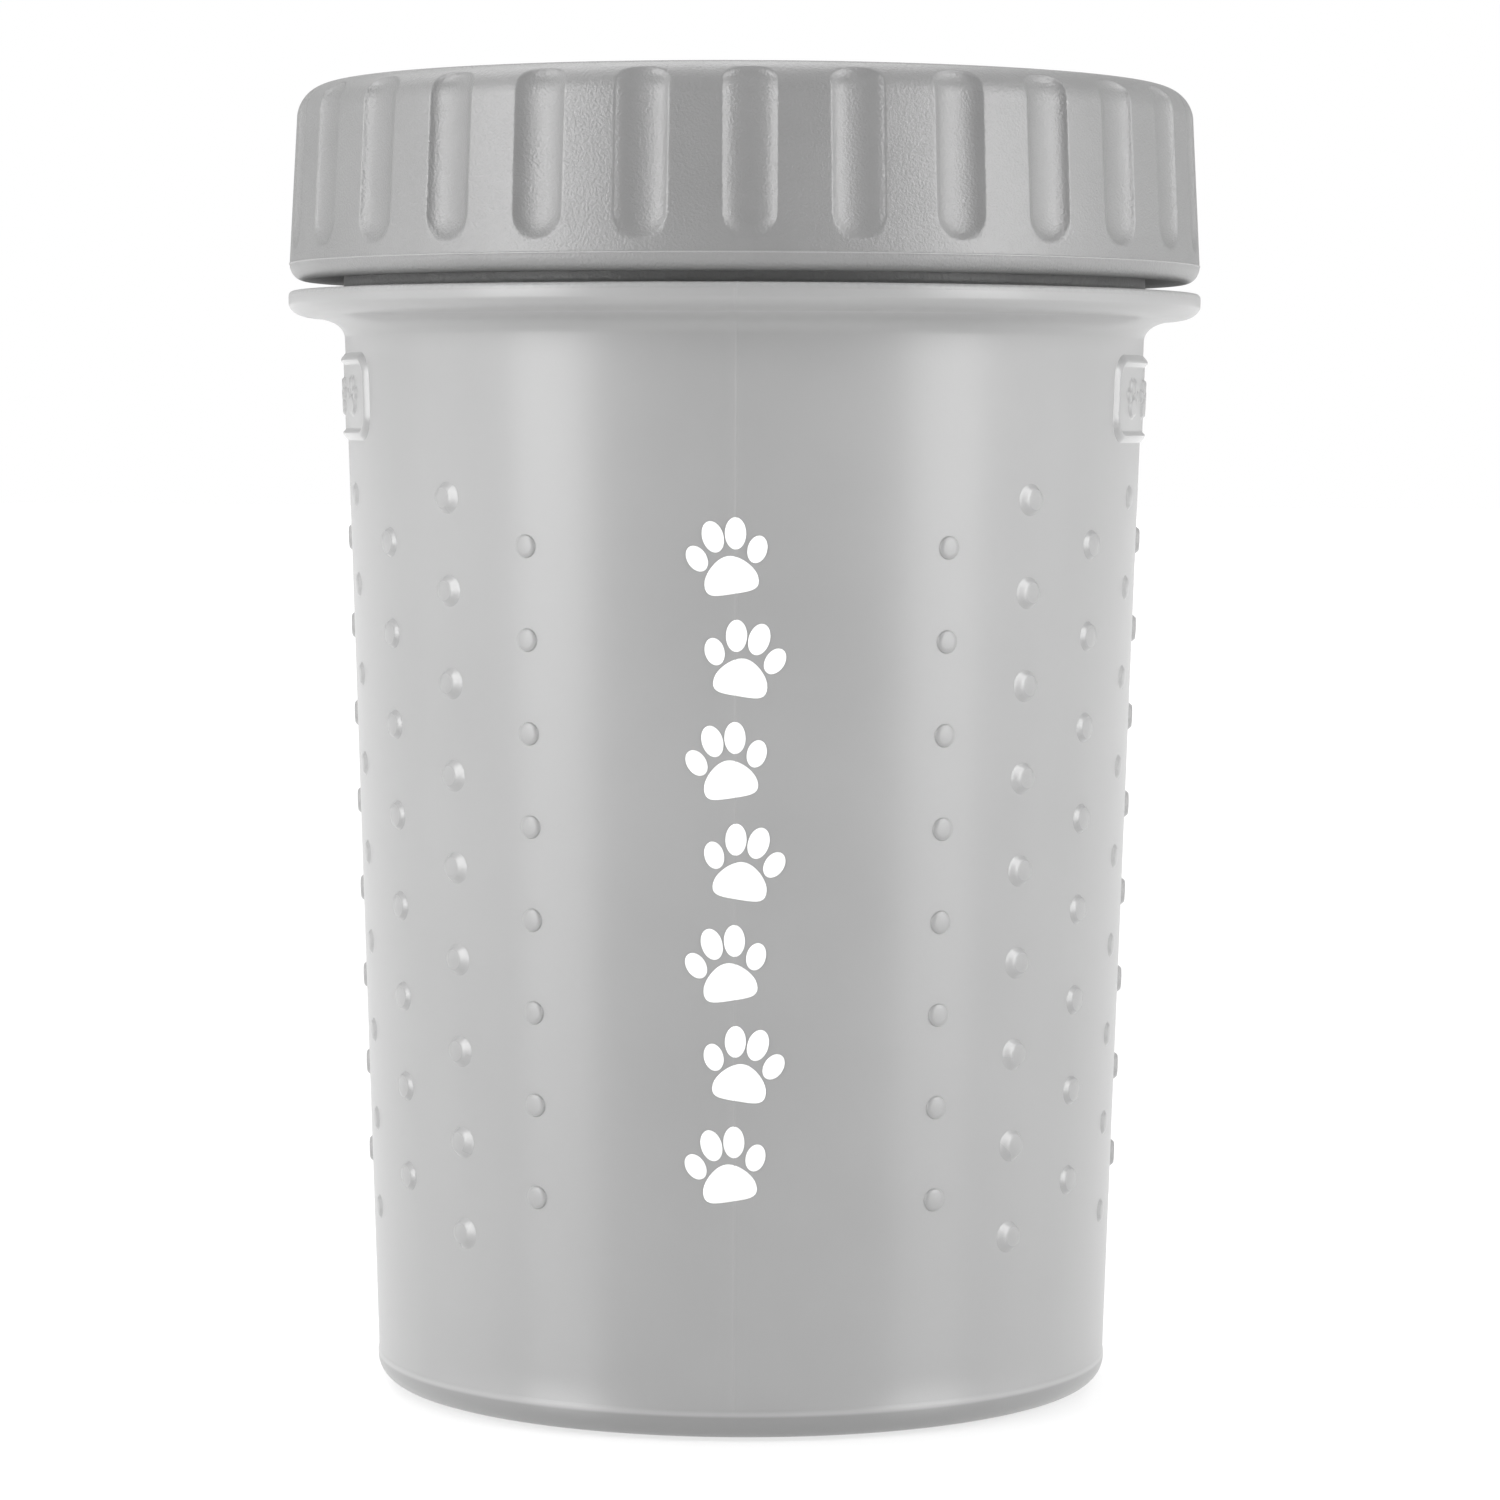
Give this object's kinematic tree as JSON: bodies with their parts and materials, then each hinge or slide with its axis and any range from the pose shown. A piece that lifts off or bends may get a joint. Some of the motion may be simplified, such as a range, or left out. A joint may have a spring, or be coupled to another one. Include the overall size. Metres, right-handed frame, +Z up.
{
  "type": "paw washer cup",
  "caption": "Portable paw washer: a tapered cup with a hanging soft bristle sleeve, a drip flange and a fluted twist-off ring with an open mouth.",
  "frame": {"origin": "centre of the foot, on the surface that the cup stands on", "axes": "+Z up along the cup's axis; the front is -Y and the two badge frames are at -X and +X"},
  "size_m": [0.1084, 0.1084, 0.1536],
  "materials": {
    "cup_plastic": "frosted, fine satin grain",
    "ring_plastic": "fine spark-eroded grain",
    "silicone": "soft matte silicone",
    "seal_rubber": "matte rubber"
  },
  "bodies": {
    "cup_body": {"cup": "cup_plastic"},
    "insert": {"sleeve": "silicone", "bristle_strip_01": "silicone", "bristle_strip_02": "silicone", "bristle_strip_03": "silicone", "bristle_strip_04": "silicone", "bristle_strip_05": "silicone", "bristle_strip_06": "silicone", "bristle_strip_07": "silicone", "bristle_strip_08": "silicone", "bristle_strip_09": "silicone", "bristle_strip_10": "silicone", "bristle_strip_11": "silicone", "bristle_strip_12": "silicone", "bristle_strip_13": "silicone", "bristle_strip_14": "silicone", "bristle_strip_15": "silicone", "bristle_strip_16": "silicone"},
    "seal": {"rim_seal": "seal_rubber"},
    "ring": {"twist_ring": "ring_plastic"}
  },
  "joints": [
    {"name": "sleeve_lift", "type": "slide", "parent": "cup_body", "child": "insert", "axis": [0, 0, 1], "range_m": [0, 0.145]},
    {"name": "ring_lift", "type": "slide", "parent": "insert", "child": "seal", "axis": [0, 0, 1], "range_m": [0, 0.06]},
    {"name": "ring_turn", "type": "hinge", "parent": "seal", "child": "ring", "pos_m": [0, 0, 0.142], "axis": [0, 0, 1], "range_deg": [-38.57, 0]}
  ]
}
